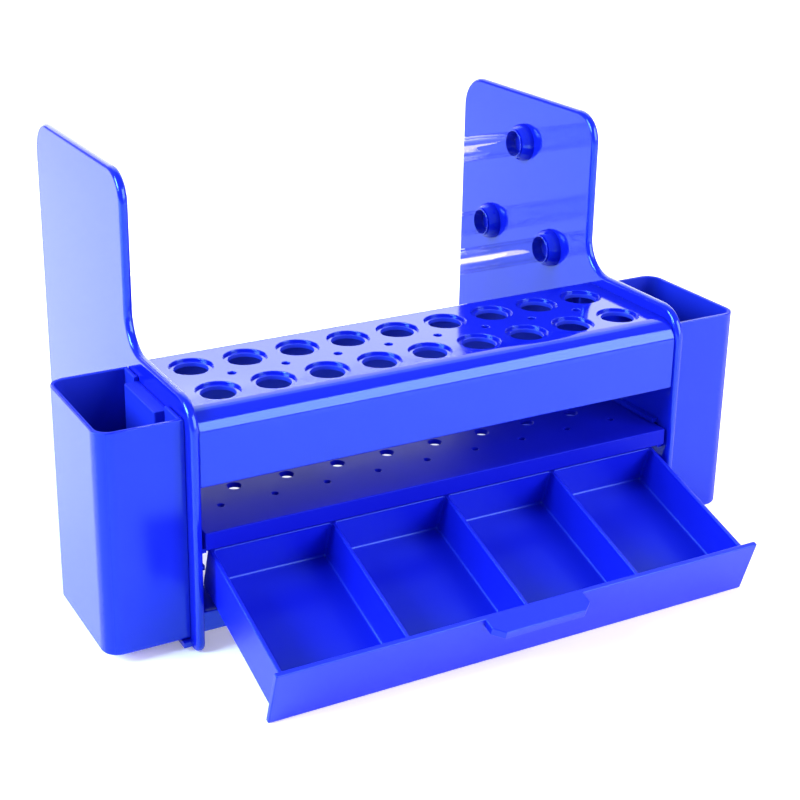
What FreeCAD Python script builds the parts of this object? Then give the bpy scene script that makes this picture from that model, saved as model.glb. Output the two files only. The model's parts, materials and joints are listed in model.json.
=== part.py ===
import FreeCAD, Part
import math
import os

# Hobby workstation organizer, moulded in glossy blue ABS.
# Millimetres. +X is the right side, +Y the back, +Z up. The feet stand on z = 0, and the origin lies
# under the middle of the whole part with its drawer drawn out.

V = FreeCAD.Vector

# Driving sizes: width
hole_pitch = 26.0
holes_per_row = 9
end_margin = 5.0
plate_thick = 4.2
cup_width = 37.8

# Driving sizes: depth, from the side plates' front edge
front_setback = 1.5
rack_depth = 71.7
tall_gap = 1.3
tall_depth = 121.2

# Driving sizes: height, one on top of the other
base_lift = 10.0
rail_drop = 9.4
drawer_front_height = 27.7
drawer_gap_below = 0.8
drawer_gap_above = 0.5
shelf_drop = 8.1
tool_gap = 21.3
apron_height = 32.9
plate_rise = 6.0
tall_rise = 79.0

# Side plates
tall_front_radius = 14.5
tall_back_radius = 17.0
valley_radius = 16.0
brow_radius = 15.0
foot_radius = 5.0
plate_edge_radius = 1.8
rib_reach = 3.0
rib_height = 2.2
rib_back_gap = 2.0
shelf_rib_setback = 8.0
seat_rib_setback = 3.0
guide_rib_setback = 5.0
guide_rib_drop = 7.0
rib_clearance = 0.3

# Tool rack
rack_wall = 2.6
rack_top_thick = 3.0
rack_front_radius = 10.0
rack_back_radius = 4.0
rack_edge_radius = 0.5
lip_edge_radius = 0.6
hole_edge_radius = 0.35
row_gap = 30.3
row_shift = 1.0
tool_hole_radius = 7.7
ring_radius = 9.9
ring_depth = 1.2
small_hole_radius = 1.9

# Middle shelf
shelf_thick = 2.4
shelf_lip = 2.2
shelf_side_gap = 1.6
shelf_depth_less = 1.0
shelf_hole_radius = 3.3
tip_hole_radius = 1.6
shelf_edge_radius = 0.5

# Base frame
rail_thick = 2.4
rail_lip = 2.2
rail_edge_radius = 0.4
rail_depth = 17.5
runner_width = 9.0
cross_width = 7.0
cross_count = 1

# Drawer
drawer_hold = 13.6
drawer_side_gap = 5.0
front_side_gap = 1.4
drawer_front_thick = 2.4
drawer_wall = 1.8
drawer_floor = 1.8
drawer_wall_height = 23.6
compartments = 4
drawer_tilt = 17.6
nose_gap = 0.3
rail_rest_gap = 0.2
foot_rib_height = 2.2
foot_rib_lead = 0.5
foot_rib_side = 6.0
foot_rib_tail = 1.5
compartment_radius = 1.2
wall_edge_radius = 0.5
front_edge_radius = 0.6
tab_reach = 9.3
tab_half_width = 24.6
tab_thick = 2.0
tab_lip_height = 4.0
tab_lip_thick = 1.8
tab_cut_width = 4.8
tab_cut_reach = 4.0
tab_edge_radius = 0.5

# Cups and the rails that they hang on
cup_depth = 66.4
cup_setback = 6.8
cup_drop = 2.8
cup_wall = 2.0
cup_floor = 2.4
cup_corner_radius = 8.0
cup_base_radius = 1.5
cup_floor_radius = 1.5
cup_rim_radius = 0.5
cup_side_gap = 0.3
cup_seat_gap = 0.3
ledge_height = 2.4
ledge_lift = 2.2
ledge_reach = 4.0
ledge_end_gap = 2.0
neck_width = 22.0
neck_reach = 2.7
head_width = 32.0
hanger_setback = 34.5
head_thick = 2.4
hanger_gap = 0.4
pocket_wall = 1.6
pocket_sink = 2.0
pocket_corner_radius = 1.0
pocket_edge_radius = 0.4
hanger_foot_gap = 8.0

# Rod sockets and the clear tubes in them
tube_radius = 6.5
tube_wall = 1.5
tube_end_gap = 0.2
tube_side_gap = 0.15
socket_reach = 6.8
socket_web = 1.0
socket_foot_radius = 9.9
socket_mouth_radius = 7.9
socket_rim_radius = 7.5
socket_rim_length = 1.0
socket_edge_radius = 0.3
spigot_radius = 4.0
spigot_length = 2.6
spigot_end_gap = 0.2
spigot_side_gap = 0.05
socket_spread = 28.8
upper_socket_drop = 26.1
lower_socket_drop = 76.7

# Screws
screw_radius = 1.5
screw_head_radius = 3.0
screw_length = 15.0
screw_side_gap = 0.1
screw_slot_width = 0.8
screw_slot_depth = 0.7
boss_radius = 3.3
boss_length = 13.0
boss_end_gap = 10.0

# Small values that every cut and edge choice shares, and a whole turn in degrees
overrun = 1.0
flat_limit = 0.001
full_turn = 360

# Worked-out widths
inner_width = holes_per_row * hole_pitch + 2 * end_margin
half_in = inner_width / 2
plate_face = half_in + plate_thick
cup_inner = plate_face + cup_side_gap
cup_outer = cup_inner + cup_width
shelf_half = half_in - shelf_side_gap
drawer_half = half_in - drawer_side_gap
front_half = half_in - front_side_gap

# Worked-out depths, from the plates' front edge
rack_front = front_setback
rack_back = rack_front + rack_depth
rack_mid = (rack_front + rack_back) / 2
middle_row = rack_mid + row_shift
front_row = middle_row - row_gap / 2
back_row = middle_row + row_gap / 2
tall_front = rack_back + tall_gap
plate_depth = tall_front + tall_depth
cup_front = cup_setback
cup_back = cup_front + cup_depth
hanger_mid = cup_front + hanger_setback
boss_front = rack_front + boss_end_gap
boss_back = rack_back - boss_end_gap

# Worked-out heights
rail_top = base_lift + rail_drop
opening_height = drawer_gap_below + drawer_front_height + drawer_gap_above
shelf_lip_bottom = rail_top + opening_height
shelf_top = shelf_lip_bottom + shelf_drop
apron_bottom = shelf_top + tool_gap
rack_top = apron_bottom + apron_height
low_height = rack_top + plate_rise
plate_height = low_height + tall_rise
ledge_top = ledge_lift + ledge_height
cup_bottom = ledge_top + cup_seat_gap
cup_top = rack_top - cup_drop
pocket_top = cup_top - pocket_sink
pocket_roof = pocket_top - pocket_wall
hanger_top = pocket_roof - cup_seat_gap
hanger_bottom = cup_bottom + hanger_foot_gap
rack_boss_z = rack_top - rack_top_thick - boss_radius
base_boss_z = rail_top - rail_thick - boss_radius
pocket_reach = neck_reach + head_thick + hanger_gap + pocket_wall

# The drawer lies on the rail's front edge and nearly touches the table with its nose.
tilt = math.radians(drawer_tilt)
nose_to_rail = (rail_top - nose_gap) * math.cos(tilt) + rail_rest_gap
nose_y = rack_front - nose_to_rail / math.sin(tilt)
rail_at = (rack_front - nose_y) * math.cos(tilt) + (rail_top - nose_gap) * math.sin(tilt)
drawer_length = rail_at + drawer_hold
tab_front = nose_y - tab_reach * math.cos(tilt) - drawer_front_height * math.sin(tilt)

# The plates' front edge lies this far from the origin, so that the whole part is centred on it.
plate_front = -(tab_front + plate_depth) / 2

# Where the sockets sit, as (depth, height): round the middle of the plates' tall part
socket_mid = tall_front + tall_depth / 2
sockets = {
    "upper": (socket_mid, plate_height - upper_socket_drop),
    "front": (socket_mid - socket_spread, plate_height - lower_socket_drop),
    "rear": (socket_mid + socket_spread, plate_height - lower_socket_drop),
}


def block(x_from, x_to, y_from, y_to, z_from, z_to):
    """A box between two corners."""
    return Part.makeBox(x_to - x_from, y_to - y_from, z_to - z_from, V(x_from, y_from, z_from))


def rod_x(radius, x_from, x_to, y, z):
    """A round bar along X."""
    return Part.makeCylinder(radius, x_to - x_from, V(x_from, y, z), V(1, 0, 0))


def rod_z(radius, x, y, z_from, z_to):
    """A round bar along Z."""
    return Part.makeCylinder(radius, z_to - z_from, V(x, y, z_from))


def rounded_face(corners):
    """A flat face round corners given as (point, radius)."""
    runs = []
    count = len(corners)
    for i, (corner, radius) in enumerate(corners):
        if radius == 0:
            runs.append((corner, None, corner))
            continue
        back = (corners[i - 1][0] - corner).normalize()
        ahead = (corners[(i + 1) % count][0] - corner).normalize()
        half_angle = back.getAngle(ahead) / 2
        inward = (back + ahead).normalize()
        cut = radius / math.tan(half_angle)
        middle = corner + inward * (radius / math.sin(half_angle) - radius)
        runs.append((corner + back * cut, middle, corner + ahead * cut))
    edges = []
    for i, (enter, middle, leave) in enumerate(runs):
        if middle is not None:
            edges.append(Part.Arc(enter, middle, leave).toShape())
        edges.append(Part.LineSegment(leave, runs[(i + 1) % count][0]).toShape())
    return Part.Face(Part.Wire(edges))


def side_profile(corners, x_from, x_to):
    """A bar along X whose section has corners at (depth, height, radius)."""
    face = rounded_face([(V(x_from, y, z), radius) for y, z, radius in corners])
    return face.extrude(V(x_to - x_from, 0, 0))


def plan_profile(corners, z_from, z_to):
    """A bar along Z whose plan has corners at (width, depth, radius)."""
    face = rounded_face([(V(x, y, z_from), radius) for x, y, radius in corners])
    return face.extrude(V(0, 0, z_to - z_from))


def joined(first, others):
    """One solid made of touching pieces."""
    return first.multiFuse(others).removeSplitter()


def flat_edges_x(shape, x):
    """The edges that lie in the plane at x."""
    found = []
    for edge in shape.Edges:
        box = edge.BoundBox
        if abs(box.XMin - x) < flat_limit and abs(box.XMax - x) < flat_limit:
            found.append(edge)
    return found


def flat_edges_z(shape, z):
    """The edges that lie in the plane at height z."""
    found = []
    for edge in shape.Edges:
        box = edge.BoundBox
        if abs(box.ZMin - z) < flat_limit and abs(box.ZMax - z) < flat_limit:
            found.append(edge)
    return found


def circles_z(shape, z):
    """The full circles that lie in the plane at height z."""
    return [edge for edge in flat_edges_z(shape, z) if edge.isClosed() and not edge.Degenerated]


def mirrored(shape):
    """The same piece for the left side."""
    return shape.mirror(V(0, 0, 0), V(1, 0, 0))


def screw_places():
    """The four screws on one side, as (depth, height)."""
    return [(y, z) for y in (boss_front, boss_back) for z in (rack_boss_z, base_boss_z)]


def countersink(x_face, y, z, radius_gap):
    """The head's cone, flush with the plate's outer face at x_face, and the shank's hole."""
    depth = screw_head_radius - screw_radius
    small = screw_radius + radius_gap
    cone = Part.makeCone(
        small, screw_head_radius + radius_gap, depth, V(x_face - depth, y, z), V(1, 0, 0)
    )
    shank = rod_x(small, x_face - screw_length, x_face - depth, y, z)
    return cone.fuse(shank)


def side_plate():
    """The right side plate, with its inner ribs, outer hanger and ledge."""
    outline = [
        (0, 0, foot_radius),
        (plate_depth, 0, foot_radius),
        (plate_depth, plate_height, tall_back_radius),
        (tall_front, plate_height, tall_front_radius),
        (tall_front, low_height, valley_radius),
        (0, low_height, brow_radius),
    ]
    plate = side_profile(outline, half_in, plate_face)
    rims = flat_edges_x(plate, half_in) + flat_edges_x(plate, plate_face)
    plate = plate.makeFillet(plate_edge_radius, rims)

    rib_back = rack_back - rib_back_gap
    rib_inner = half_in - rib_reach
    rib_root = half_in + overrun
    shelf_rib_z = shelf_top + rib_clearance
    seat_rib_z = shelf_lip_bottom - rib_clearance - rib_height
    guide_rib_z = seat_rib_z - guide_rib_drop - rib_height
    extras = []
    for setback, z in (
        (shelf_rib_setback, shelf_rib_z),
        (seat_rib_setback, seat_rib_z),
        (guide_rib_setback, guide_rib_z),
    ):
        rib_front = rack_front + setback
        extras.append(block(rib_inner, rib_root, rib_front, rib_back, z, z + rib_height))

    outer_root = plate_face - overrun
    neck_half = neck_width / 2
    head_half = head_width / 2
    head_from = plate_face + neck_reach
    extras.append(
        block(
            outer_root, head_from + head_thick / 2, hanger_mid - neck_half, hanger_mid + neck_half,
            hanger_bottom, hanger_top,
        )
    )
    extras.append(
        block(
            head_from, head_from + head_thick, hanger_mid - head_half, hanger_mid + head_half,
            hanger_bottom, hanger_top,
        )
    )
    extras.append(
        block(
            outer_root, plate_face + ledge_reach, cup_front - ledge_end_gap, cup_back + ledge_end_gap,
            ledge_lift, ledge_top,
        )
    )
    plate = joined(plate, extras)

    for y, z in sockets.values():
        hole = rod_x(
            spigot_radius + spigot_side_gap, half_in - overrun,
            half_in + spigot_length + spigot_end_gap, y, z,
        )
        plate = plate.cut(hole)
    for y, z in screw_places():
        plate = plate.cut(countersink(plate_face, y, z, screw_side_gap))
    return plate


def screw(y, z):
    """One countersunk screw on the right side, flush with the plate, with a cross slot."""
    body = countersink(plate_face, y, z, 0)
    slot_half = screw_slot_width / 2
    slot_from = plate_face - screw_slot_depth
    slot_to = plate_face + overrun
    arm = screw_head_radius / 2
    across = block(slot_from, slot_to, y - arm, y + arm, z - slot_half, z + slot_half)
    along = block(slot_from, slot_to, y - slot_half, y + slot_half, z - arm, z + arm)
    return body.cut(across.fuse(along))


def screws(height):
    """The four screws at one height, two on each side."""
    right = [screw(y, height) for y in (boss_front, boss_back)]
    return Part.makeCompound(right + [mirrored(one) for one in right])


def end_bosses(height, roof):
    """Bosses for the side screws, at both ends, hung from the skin whose underside is at roof."""
    bosses = []
    inner = half_in - boss_length
    for y in (boss_front, boss_back):
        web = block(inner, half_in, y - boss_radius, y + boss_radius, height, roof)
        boss = web.fuse(rod_x(boss_radius, inner, half_in, y, height))
        bosses += [boss, mirrored(boss)]
    return bosses


def screw_holes(shape, height):
    """The shape with a hole for each side screw at this height."""
    radius = screw_radius + screw_side_gap
    deep = plate_face - screw_length - screw_side_gap
    for y in (boss_front, boss_back):
        hole = rod_x(radius, deep, half_in + overrun, y, height)
        shape = shape.cut(hole).cut(mirrored(hole))
    return shape


def column_places(count):
    """Evenly pitched places across the width, centred."""
    return [(i - (count - 1) / 2) * hole_pitch for i in range(count)]


def tool_rack():
    """The top shell: a holed deck with a rounded front, an apron and a back wall as deep."""
    under = rack_top - rack_top_thick
    apron_back = rack_front + rack_wall
    back_wall_front = rack_back - rack_wall
    section = [
        (rack_front, apron_bottom, lip_edge_radius),
        (rack_front, rack_top, rack_front_radius),
        (rack_back, rack_top, rack_back_radius),
        (rack_back, apron_bottom, lip_edge_radius),
        (back_wall_front, apron_bottom, lip_edge_radius),
        (back_wall_front, under, rack_back_radius - rack_wall),
        (apron_back, under, rack_front_radius - rack_wall),
        (apron_back, apron_bottom, lip_edge_radius),
    ]
    shell = side_profile(section, -half_in, half_in)
    ends = flat_edges_x(shell, -half_in) + flat_edges_x(shell, half_in)
    shell = shell.makeFillet(rack_edge_radius, ends)
    shell = joined(shell, end_bosses(rack_boss_z, under + flat_limit))
    shell = screw_holes(shell, rack_boss_z)

    holes = []
    for x in column_places(holes_per_row):
        for y in (front_row, back_row):
            holes.append(rod_z(tool_hole_radius, x, y, under - overrun, rack_top + overrun))
            holes.append(rod_z(ring_radius, x, y, rack_top - ring_depth, rack_top + overrun))
    for x in column_places(holes_per_row - 1):
        holes.append(rod_z(small_hole_radius, x, middle_row, under - overrun, rack_top + overrun))
    shell = shell.cut(Part.makeCompound(holes))
    ring_floor = rack_top - ring_depth
    inner_width_limit = tool_hole_radius + ring_radius
    rims = [edge for edge in circles_z(shell, ring_floor) if edge.BoundBox.XLength < inner_width_limit]
    return shell.makeFillet(hole_edge_radius, circles_z(shell, rack_top) + rims)


def middle_shelf():
    """The perforated shelf, a shallow tray turned upside down."""
    back = rack_back - shelf_depth_less
    skin = shelf_top - shelf_thick
    tray = block(-shelf_half, shelf_half, rack_front, back, shelf_lip_bottom, shelf_top)
    tray = tray.makeFillet(shelf_edge_radius, tray.Edges)
    hollow = block(
        -shelf_half + shelf_lip, shelf_half - shelf_lip, rack_front + shelf_lip, back - shelf_lip,
        shelf_lip_bottom - overrun, skin,
    )
    tray = tray.cut(hollow)
    holes = []
    for x in column_places(holes_per_row):
        for y in (front_row, back_row):
            holes.append(rod_z(tip_hole_radius, x, y, skin - overrun, shelf_top + overrun))
    for x in column_places(holes_per_row - 1):
        holes.append(rod_z(shelf_hole_radius, x, middle_row, skin - overrun, shelf_top + overrun))
    tray = tray.cut(Part.makeCompound(holes))
    return tray.makeFillet(hole_edge_radius, circles_z(tray, shelf_top))


def base_frame():
    """The frame under the drawer: a front and a back rail, runners and cross bars."""
    skin = rail_top - rail_thick
    frame = block(-half_in, half_in, rack_front, rack_back, base_lift, rail_top)
    long_edges = [edge for edge in frame.Edges if edge.Length > half_in]
    frame = frame.makeFillet(rail_edge_radius, long_edges)
    hollow = block(
        -half_in - overrun, half_in + overrun, rack_front + rail_lip, rack_back - rail_lip,
        base_lift - overrun, skin,
    )
    frame = frame.cut(hollow)
    window_half = half_in - runner_width
    bay = (2 * window_half - cross_count * cross_width) / (cross_count + 1)
    for i in range(cross_count + 1):
        left = -window_half + i * (bay + cross_width)
        window = block(
            left, left + bay, rack_front + rail_depth, rack_back - rail_depth,
            skin - overrun, rail_top + overrun,
        )
        frame = frame.cut(window)
    frame = joined(frame, end_bosses(base_boss_z, skin + flat_limit))
    return screw_holes(frame, base_boss_z)


def pull_tab():
    """The tab on the drawer front's top edge: a ledge with cut corners and a turned-down lip."""
    top = drawer_front_height
    half = tab_half_width
    shoulder = tab_reach - tab_cut_reach
    plan = [
        (-half, overrun, 0),
        (-half, -shoulder, 0),
        (-half + tab_cut_width, -tab_reach, 0),
        (half - tab_cut_width, -tab_reach, 0),
        (half, -shoulder, 0),
        (half, overrun, 0),
    ]
    low = top - tab_lip_height
    tab = plan_profile(plan, low, top)
    rims = [edge for edge in flat_edges_z(tab, low) + flat_edges_z(tab, top) if edge.BoundBox.YMin < 0]
    tab = tab.makeFillet(tab_edge_radius, rims)
    inner_half = half - tab_lip_thick
    hollow = [
        (-inner_half, 0, 0),
        (-inner_half, -shoulder + tab_lip_thick / 2, 0),
        (-inner_half + tab_cut_width, -tab_reach + tab_lip_thick, 0),
        (inner_half - tab_cut_width, -tab_reach + tab_lip_thick, 0),
        (inner_half, -shoulder + tab_lip_thick / 2, 0),
        (inner_half, 0, 0),
    ]
    return tab.cut(plan_profile(hollow, low - overrun, top - tab_thick))


def tipped(shape):
    """A piece of the level drawer, tipped into place."""
    shape.rotate(V(0, 0, 0), V(1, 0, 0), drawer_tilt)
    shape.translate(V(0, nose_y, nose_gap))
    return shape


def drawer_pieces():
    """The drawer and its pull, built level with the nose's lower edge on the X axis."""
    front = block(-front_half, front_half, 0, drawer_front_thick, 0, drawer_front_height)
    front = front.makeFillet(front_edge_radius, front.Edges)
    body = block(
        -drawer_half, drawer_half, drawer_front_thick / 2, drawer_length,
        foot_rib_height, drawer_wall_height,
    )
    foot_half = drawer_half - foot_rib_side
    foot = block(
        -foot_half, foot_half, rail_at - foot_rib_lead, drawer_length - foot_rib_tail,
        0, foot_rib_height + drawer_floor / 2,
    )
    tray = joined(front, [body, foot, pull_tab()])
    room = 2 * drawer_half - (compartments + 1) * drawer_wall
    width = room / compartments
    floor_top = foot_rib_height + drawer_floor
    for i in range(compartments):
        left = -drawer_half + drawer_wall + i * (width + drawer_wall)
        space = block(
            left, left + width, drawer_front_thick + drawer_wall, drawer_length - drawer_wall,
            floor_top, drawer_front_height,
        )
        soft_edges = [edge for edge in space.Edges if edge.BoundBox.ZMin < drawer_wall_height]
        tray = tray.cut(space.makeFillet(compartment_radius, soft_edges))
    rims = [
        edge for edge in flat_edges_z(tray, drawer_wall_height)
        if edge.BoundBox.YMax > drawer_front_thick + flat_limit
    ]
    tray = tray.makeFillet(wall_edge_radius, rims)
    pull_room = block(
        -tab_half_width, tab_half_width, -tab_reach - overrun, drawer_front_thick,
        drawer_front_height - tab_lip_height, drawer_front_height + overrun,
    )
    return {
        "drawer": tipped(tray.cut(pull_room)),
        "drawer_pull": tipped(tray.common(pull_room)),
    }


def cup():
    """The right cup, with the pocket that hangs on the plate's rail."""
    outer = [
        (cup_inner, cup_front, 0),
        (cup_outer, cup_front, cup_corner_radius),
        (cup_outer, cup_back, cup_corner_radius),
        (cup_inner, cup_back, 0),
    ]
    body = plan_profile(outer, cup_bottom, cup_top)
    low_edges = [
        edge for edge in flat_edges_z(body, cup_bottom)
        if edge.BoundBox.XMax > cup_inner + flat_limit
    ]
    body = body.makeFillet(cup_base_radius, low_edges)
    inside_from = cup_inner + cup_wall
    inside = [
        (inside_from, cup_front + cup_wall, 0),
        (cup_outer - cup_wall, cup_front + cup_wall, cup_corner_radius - cup_wall),
        (cup_outer - cup_wall, cup_back - cup_wall, cup_corner_radius - cup_wall),
        (inside_from, cup_back - cup_wall, 0),
    ]
    floor_top = cup_bottom + cup_floor
    hollow = plan_profile(inside, floor_top, cup_top + overrun)
    hollow = hollow.makeFillet(cup_floor_radius, flat_edges_z(hollow, floor_top))
    body = body.cut(hollow)
    body = body.makeFillet(cup_rim_radius, flat_edges_z(body, cup_top))

    pocket_half = head_width / 2 + hanger_gap + pocket_wall
    pocket_outer = plate_face + pocket_reach
    pocket = block(
        inside_from - cup_wall / 2, pocket_outer, hanger_mid - pocket_half, hanger_mid + pocket_half,
        cup_bottom + cup_floor / 2, pocket_top,
    )
    uprights = [
        edge for edge in flat_edges_x(pocket, pocket_outer)
        if edge.BoundBox.ZMin < floor_top < edge.BoundBox.ZMax
    ]
    pocket = pocket.makeFillet(pocket_corner_radius, uprights)
    pocket = pocket.makeFillet(pocket_edge_radius, flat_edges_z(pocket, pocket_top))
    notch = block(
        cup_inner - overrun, inside_from + overrun, hanger_mid - pocket_half, hanger_mid + pocket_half,
        pocket_top, cup_top + overrun,
    )
    body = joined(body.cut(notch), [pocket])
    slot_half = neck_width / 2 + hanger_gap
    slot = block(
        plate_face, inside_from + overrun, hanger_mid - slot_half, hanger_mid + slot_half,
        cup_bottom - overrun, pocket_roof,
    )
    room_half = head_width / 2 + hanger_gap
    room_from = plate_face + neck_reach - hanger_gap
    room_to = plate_face + neck_reach + head_thick + hanger_gap
    room = block(
        room_from, room_to, hanger_mid - room_half, hanger_mid + room_half,
        cup_bottom - overrun, pocket_roof,
    )
    return body.cut(slot).cut(room)


def straight_runs(points):
    """Straight edges from each (along, out) point to the next, in the plane z = 0."""
    places = [V(x, y, 0) for x, y in points]
    return [Part.LineSegment(start, end).toShape() for start, end in zip(places, places[1:])]


def socket(y, z):
    """A domed socket on the right plate's inner face, widest there, spigot into the plate, mouth inward."""
    mouth = half_in - socket_reach
    shoulder = mouth + socket_rim_length
    bore_end = half_in - socket_web
    bore = tube_radius + tube_side_gap
    tip = half_in + spigot_length
    mouth_side = [
        (mouth, bore),
        (mouth, socket_rim_radius),
        (shoulder, socket_rim_radius),
        (shoulder, socket_mouth_radius),
    ]
    # The dome's arc leaves the plate square to it, so its middle lies half its turn back from there.
    dome_length = half_in - shoulder
    dome_rise = socket_foot_radius - socket_mouth_radius
    dome_radius = (dome_length ** 2 + dome_rise ** 2) / (2 * dome_rise)
    half_turn = math.atan2(dome_rise, dome_length)
    dome_mid = V(
        half_in - dome_radius * math.sin(half_turn),
        socket_foot_radius - dome_radius * (1 - math.cos(half_turn)),
        0,
    )
    dome = Part.Arc(V(shoulder, socket_mouth_radius, 0), dome_mid, V(half_in, socket_foot_radius, 0))
    plate_side = [
        (half_in, socket_foot_radius),
        (half_in, spigot_radius),
        (tip, spigot_radius),
        (tip, 0),
        (bore_end, 0),
        (bore_end, bore),
        (mouth, bore),
    ]
    section = Part.Wire(straight_runs(mouth_side) + [dome.toShape()] + straight_runs(plate_side))
    body = Part.Face(section).revolve(V(0, 0, 0), V(1, 0, 0), full_turn)
    body = body.makeFillet(socket_edge_radius, flat_edges_x(body, mouth))
    body.translate(V(0, y, z))
    return body


def spool_tube(y, z):
    """A clear tube between two facing sockets."""
    end = half_in - socket_web - tube_end_gap
    bar = rod_x(tube_radius, -end, end, y, z)
    return bar.cut(rod_x(tube_radius - tube_wall, -end - overrun, end + overrun, y, z))


def all_pieces():
    """Every piece by name, with the plates' front edge at y = 0."""
    pieces = {
        "right_side_plate": side_plate(),
        "tool_rack": tool_rack(),
        "middle_shelf": middle_shelf(),
        "base_frame": base_frame(),
        "right_cup": cup(),
        "rack_screws": screws(rack_boss_z),
        "base_screws": screws(base_boss_z),
    }
    pieces.update(drawer_pieces())
    pieces["left_side_plate"] = mirrored(pieces["right_side_plate"])
    pieces["left_cup"] = mirrored(pieces["right_cup"])
    for place, (y, z) in sockets.items():
        right = socket(y, z)
        pieces["right_" + place + "_socket"] = right
        pieces["left_" + place + "_socket"] = mirrored(right)
        pieces[place + "_spool_tube"] = spool_tube(y, z)
    return pieces


def main():
    os.makedirs("parts", exist_ok=True)
    for name, shape in all_pieces().items():
        shape.translate(V(0, plate_front, 0))
        shape.exportStep("parts/" + name + ".step")
        box = shape.BoundBox
        print(
            name, "solids", len(shape.Solids), "valid", shape.isValid(), "volume", round(shape.Volume),
            "from", round(box.XMin, 2), round(box.YMin, 2), round(box.ZMin, 2),
            "to", round(box.XMax, 2), round(box.YMax, 2), round(box.ZMax, 2),
        )


main()
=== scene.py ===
import bpy
import json
import math
import mathutils
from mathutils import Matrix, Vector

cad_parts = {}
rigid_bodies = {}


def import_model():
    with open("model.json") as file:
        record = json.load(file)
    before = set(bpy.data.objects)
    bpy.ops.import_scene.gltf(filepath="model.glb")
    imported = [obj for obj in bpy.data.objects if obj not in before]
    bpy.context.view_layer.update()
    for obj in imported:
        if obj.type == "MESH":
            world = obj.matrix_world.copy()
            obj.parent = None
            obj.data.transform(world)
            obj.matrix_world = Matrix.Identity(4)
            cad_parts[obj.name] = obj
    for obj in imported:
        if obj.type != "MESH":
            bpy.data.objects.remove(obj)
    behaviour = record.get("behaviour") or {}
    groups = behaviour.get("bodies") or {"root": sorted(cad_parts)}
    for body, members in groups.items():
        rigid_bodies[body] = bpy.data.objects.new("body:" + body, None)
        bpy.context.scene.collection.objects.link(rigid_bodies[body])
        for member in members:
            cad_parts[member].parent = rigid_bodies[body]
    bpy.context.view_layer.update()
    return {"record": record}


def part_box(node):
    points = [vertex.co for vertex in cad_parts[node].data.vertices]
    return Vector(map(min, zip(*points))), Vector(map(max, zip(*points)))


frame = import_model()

# Blue plastic bench organizer on a white light table. Metres, in the frame of the CAD model.

MM = 0.001
MATT = 0.65  # roughness of the unpolished inside of a mould
HALF_WALL = 1.3 * MM  # half the wall of the rack
FRONT_ROUNDING = 10.0 * MM  # how far back the rack's rounded front edge reaches
CUP_RIM = 1.0 * MM  # how far in from a cup's box its polished outside reaches
ABS_IOR = 1.54
TABLE_SIDE = 16.0


def linear(hex_colour):
    """An sRGB hex colour as linear red, green, blue and alpha."""
    parts = [int(hex_colour[i:i + 2], 16) / 255 for i in (1, 3, 5)]
    return [c / 12.92 if c <= 0.04045 else ((c + 0.055) / 1.055) ** 2.4 for c in parts] + [1.0]


def add(tree, kind, settings=None, links=None):
    """A node with its settings and links: a link is (socket, node, that node's output)."""
    node = tree.nodes.new(kind)
    for name, value in (settings or {}).items():
        if name in node.inputs:
            node.inputs[name].default_value = value
        else:
            setattr(node, name, value)
    for socket, source, output in links or ():
        tree.links.new(source.outputs[output], node.inputs[socket])
    return node


def new_material(name):
    """An empty node material and its output node."""
    material = bpy.data.materials.new(name)
    material.use_nodes = True
    material.node_tree.nodes.clear()
    output = add(material.node_tree, "ShaderNodeOutputMaterial")
    return material, material.node_tree, output


def matt_zone(tree, place, low, high):
    """A node that gives 1 in the box between two corners, and 0 elsewhere."""
    spread = add(tree, "ShaderNodeSeparateXYZ", {}, [("Vector", place, "Object")])
    zone = None
    for axis, start, end in zip("XYZ", low, high):
        between = add(tree, "ShaderNodeMath", {"operation": "COMPARE"}, [(0, spread, axis)])
        between.inputs[1].default_value = (start + end) / 2
        between.inputs[2].default_value = (end - start) / 2
        if zone:
            between = add(
                tree, "ShaderNodeMath", {"operation": "MULTIPLY"},
                [(0, zone, "Value"), (1, between, "Value")],
            )
        zone = between
    return zone


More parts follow.
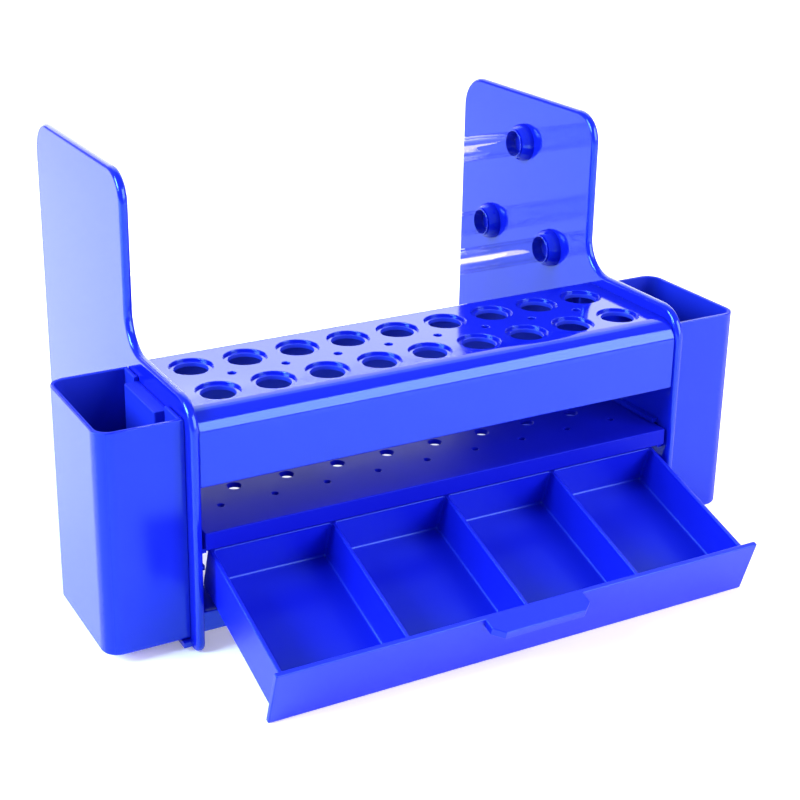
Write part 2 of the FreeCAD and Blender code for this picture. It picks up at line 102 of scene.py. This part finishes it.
def moulded_abs(name, base_hex, deep_hex, smooth, dull, shine=0.5, inside=None):
    """Injection-moulded ABS: a saturated body under a hard skin, as polished as its mould.

    What the eye gets: reflections that are sharp where the mould is polished and soft where it is satin,
    and that waver a little over wide faces, because the skin sinks where the wall cools last. The body
    colour is nearly even. Faces between the two corners given as inside are matt, because only the outside
    of such a mould is polished.
    """
    material, tree, output = new_material(name)
    place = add(tree, "ShaderNodeTexCoord")
    # Slow cloudiness in the pigment, some 60 mm across.
    cloud = add(
        tree, "ShaderNodeTexNoise", {"Scale": 1 / (60 * MM), "Detail": 2.0}, [("Vector", place, "Object")],
    )
    colour = add(tree, "ShaderNodeMix", {"data_type": "RGBA"}, [("Factor", cloud, "Fac")])
    colour.inputs["A"].default_value = linear(deep_hex)
    colour.inputs["B"].default_value = linear(base_hex)
    # Sink waves some 45 mm long, a few hundredths of a millimetre deep.
    wave = add(
        tree, "ShaderNodeTexNoise", {"Scale": 1 / (45 * MM), "Detail": 1.0}, [("Vector", place, "Object")],
    )
    sink = add(tree, "ShaderNodeBump", {"Strength": 0.15, "Distance": 0.12 * MM}, [("Height", wave, "Fac")])
    # A fine polish grain, drawn at 1.5 mm so that it shows, breaks up the shine.
    grain = add(
        tree, "ShaderNodeTexNoise", {"Scale": 1 / (1.5 * MM), "Detail": 3.0}, [("Vector", place, "Object")],
    )
    skin = add(
        tree, "ShaderNodeBump", {"Strength": 0.05, "Distance": 0.01 * MM},
        [("Height", grain, "Fac"), ("Normal", sink, "Normal")],
    )
    # The roughness drifts between the two given values with the cloudiness.
    polish = add(tree, "ShaderNodeMapRange", {"To Min": smooth, "To Max": dull}, [("Value", cloud, "Fac")])
    if inside:
        zone = matt_zone(tree, place, *inside)
        polish = add(
            tree, "ShaderNodeMix", {"data_type": "FLOAT", "B": MATT},
            [("Factor", zone, "Value"), ("A", polish, "Result")],
        )
    # The tint keeps the wide highlights on the cool side of white.
    shader = add(
        tree, "ShaderNodeBsdfPrincipled",
        {"IOR": ABS_IOR, "Specular IOR Level": shine, "Specular Tint": linear("#A8ECFF")},
        [("Base Color", colour, "Result"), ("Roughness", polish, "Result"), ("Normal", skin, "Normal")],
    )
    tree.links.new(shader.outputs["BSDF"], output.inputs["Surface"])
    return material


def inner_box(node, low_inset, high_inset):
    """The corners of a node's box, drawn in by two insets."""
    low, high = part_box(node)
    return low + mathutils.Vector(low_inset), high - mathutils.Vector(high_inset)


def polished_acrylic(name):
    """Extruded acrylic tube, clear and polished: almost unseen, but for the light along its walls."""
    material, tree, output = new_material(name)
    place = add(tree, "ShaderNodeTexCoord")
    # Draw lines from the extruder, about 0.8 mm apart round the tube and 125 mm long.
    along = 1 / (125 * MM)
    around = 1 / (0.8 * MM)
    stretch = add(
        tree, "ShaderNodeMapping", {"Scale": (along, around, around)}, [("Vector", place, "Object")],
    )
    lines = add(tree, "ShaderNodeTexNoise", {"Scale": 1.0, "Detail": 1.0}, [("Vector", stretch, "Vector")])
    skin = add(
        tree, "ShaderNodeBump", {"Strength": 0.05, "Distance": 0.02 * MM}, [("Height", lines, "Fac")],
    )
    # The walls mirror 4 % of what is before them, and nearly all of it where they curve away.
    facing = add(tree, "ShaderNodeLayerWeight", {"Blend": 0.5}, [("Normal", skin, "Normal")])
    steep = add(tree, "ShaderNodeMath", {"operation": "POWER"}, [(0, facing, "Facing")])
    steep.inputs[1].default_value = 4.0
    edge = add(tree, "ShaderNodeMapRange", {"To Min": 0.04, "To Max": 0.9}, [("Value", steep, "Value")])
    through = add(tree, "ShaderNodeBsdfTransparent", {"Color": linear("#FCFDFF")})
    shine = add(tree, "ShaderNodeBsdfGlossy", {"Roughness": 0.04}, [("Normal", skin, "Normal")])
    wall = add(tree, "ShaderNodeMixShader", {}, [("Fac", edge, "Result")])
    tree.links.new(through.outputs["BSDF"], wall.inputs[1])
    tree.links.new(shine.outputs["BSDF"], wall.inputs[2])
    tree.links.new(wall.outputs["Shader"], output.inputs["Surface"])
    return material


def zinc_plated_steel(name):
    """Zinc-plated screw steel: grey with a fine brushed break-up of the shine."""
    material, tree, output = new_material(name)
    place = add(tree, "ShaderNodeTexCoord")
    grain = add(
        tree, "ShaderNodeTexNoise", {"Scale": 1 / (0.4 * MM), "Detail": 3.0}, [("Vector", place, "Object")],
    )
    dull = add(tree, "ShaderNodeMapRange", {"To Min": 0.25, "To Max": 0.42}, [("Value", grain, "Fac")])
    shader = add(
        tree, "ShaderNodeBsdfPrincipled", {"Base Color": linear("#B9BBBE"), "Metallic": 1.0},
        [("Roughness", dull, "Result")],
    )
    tree.links.new(shader.outputs["BSDF"], output.inputs["Surface"])
    return material


def light_table(name):
    """White laminated table top, matt, lit a little from below so that contact shadows stay pale."""
    material, tree, output = new_material(name)
    place = add(tree, "ShaderNodeTexCoord")
    mottle = add(
        tree, "ShaderNodeTexNoise", {"Scale": 1 / (300 * MM), "Detail": 2.0}, [("Vector", place, "Object")],
    )
    tone = add(tree, "ShaderNodeMix", {"data_type": "RGBA"}, [("Factor", mottle, "Fac")])
    tone.inputs["A"].default_value = linear("#F4F4F6")
    tone.inputs["B"].default_value = linear("#F8F8F9")
    shader = add(
        tree, "ShaderNodeBsdfPrincipled",
        {"Roughness": 0.6, "Emission Color": linear("#FFFFFF"), "Emission Strength": 0.25},
        [("Base Color", tone, "Result")],
    )
    tree.links.new(shader.outputs["BSDF"], output.inputs["Surface"])
    return material


gloss_abs = moulded_abs("royal blue ABS moulded high gloss", "#0C1ABC", "#0A16B2", 0.05, 0.11)
rack_abs = moulded_abs(
    "royal blue ABS moulded high gloss, matt inside", "#0C1ABC", "#0A16B2", 0.05, 0.11,
    inside=inner_box("tool_rack", (0.0, FRONT_ROUNDING, 0.0), (0.0, HALF_WALL, HALF_WALL)),
)
# The shelf is the same blue ABS, but its colours are darker: painted shade for the shade under the rack.
# Its satin roughness and weak shine are the finish.
shelf_satin_painted_shade_abs = moulded_abs("royal blue ABS moulded satin, darkened as painted shade", "#0A12B0", "#080FA4", 0.30, 0.38, 0.06)
drawer_abs = moulded_abs("royal blue ABS moulded semi-gloss", "#0C18C8", "#0A14BE", 0.32, 0.40, 0.45)
finishes = {
    "blue_abs": gloss_abs,
    "clear_acrylic": polished_acrylic("clear acrylic tube polished"),
    "screw_steel": zinc_plated_steel("zinc plated screw steel"),
}

for part in frame["record"]["subparts"]:
    piece = bpy.data.objects[part["node"]]
    piece.data.materials.clear()
    piece.data.materials.append(finishes[part["material_slot"]])
bpy.data.objects["tool_rack"].data.materials[0] = rack_abs
bpy.data.objects["middle_shelf"].data.materials[0] = shelf_satin_painted_shade_abs
for name in ("drawer", "drawer_pull"):
    bpy.data.objects[name].data.materials[0] = drawer_abs
for name in ("left_cup", "right_cup"):
    cup_abs = moulded_abs(
        name.replace("_", " ") + " royal blue ABS moulded soft gloss, matt inside",
        "#0C1CBC", "#0A18B2", 0.14, 0.20, 0.36,
        inside=inner_box(name, (CUP_RIM, CUP_RIM, CUP_RIM), (CUP_RIM, CUP_RIM, 0.0)),
    )
    bpy.data.objects[name].data.materials[0] = cup_abs


# Stage, lights and camera

def softbox(name, place, target, width, height, glow, tint="#FFFFFF"):
    """A rectangular studio softbox aimed at a point.

    Its glow is how bright its face is, where a lit white wall is 1.
    """
    lamp = bpy.data.lights.new(name, "AREA")
    lamp.shape = "RECTANGLE"
    lamp.size = width
    lamp.size_y = height
    lamp.energy = glow * math.pi * width * height
    lamp.color = linear(tint)[:3]
    holder = bpy.data.objects.new(name, lamp)
    bpy.context.scene.collection.objects.link(holder)
    holder.location = place
    aim = mathutils.Vector(target) - mathutils.Vector(place)
    holder.rotation_euler = aim.to_track_quat("-Z", "Y").to_euler()
    holder.visible_camera = False
    return holder


bpy.ops.mesh.primitive_plane_add(size=TABLE_SIDE)
table = bpy.context.object
table.name = "light_table"
table.data.materials.append(light_table("white laminate table"))

# A white wall behind, in two parts that the deck mirrors, and a cool panel over it.
softbox("back_wall_light", (1.05, 2.20, 0.60), (0.0, 0.0, 0.60), 4.6, 1.20, 2.6)
softbox("back_upper_light", (1.05, 2.20, 1.85), (0.0, 0.0, 0.60), 4.6, 1.30, 2.2, "#FFF8FC")
softbox("back_ceiling_light", (0.80, 1.50, 2.50), (0.0, 0.0, 0.10), 3.0, 1.00, 1.6, "#D8ECFF")
# The key at the front right, and a strong cool panel at the left for the outer faces there.
softbox("key_light", (0.80, -1.28, 0.72), (0.0, 0.0, 0.10), 1.0, 1.2, 10.0, "#FFEEF0")
softbox("left_light", (-1.35, 0.10, 0.80), (-0.25, 0.25, 0.0), 0.8, 0.7, 30.0, "#D6F4FF")

world = bpy.data.worlds.new("white studio")
bpy.context.scene.world = world
world.use_nodes = True
world.node_tree.nodes["Background"].inputs["Color"].default_value = linear("#FFFFFF")
world.node_tree.nodes["Background"].inputs["Strength"].default_value = 0.45

# Lens, place and turn come from a fit to some 60 points of the photograph.
lens_data = bpy.data.cameras.new("photo_camera")
lens_data.sensor_width = 36.0
lens_data.lens = 70.54
lens_data.shift_x = 0.1
lens_data.shift_y = -0.1
camera = bpy.data.objects.new("photo_camera", lens_data)
bpy.context.scene.collection.objects.link(camera)
right = mathutils.Vector((0.892675, -0.450701, 0.000097))
up = mathutils.Vector((0.153505, 0.304240, 0.940146))
turn = mathutils.Matrix((right, up, right.cross(up))).transposed().to_4x4()
camera.matrix_world = mathutils.Matrix.Translation((-0.342083, -0.603484, 0.364588)) @ turn
bpy.context.scene.camera = camera
bpy.context.scene.view_settings.view_transform = "Standard"
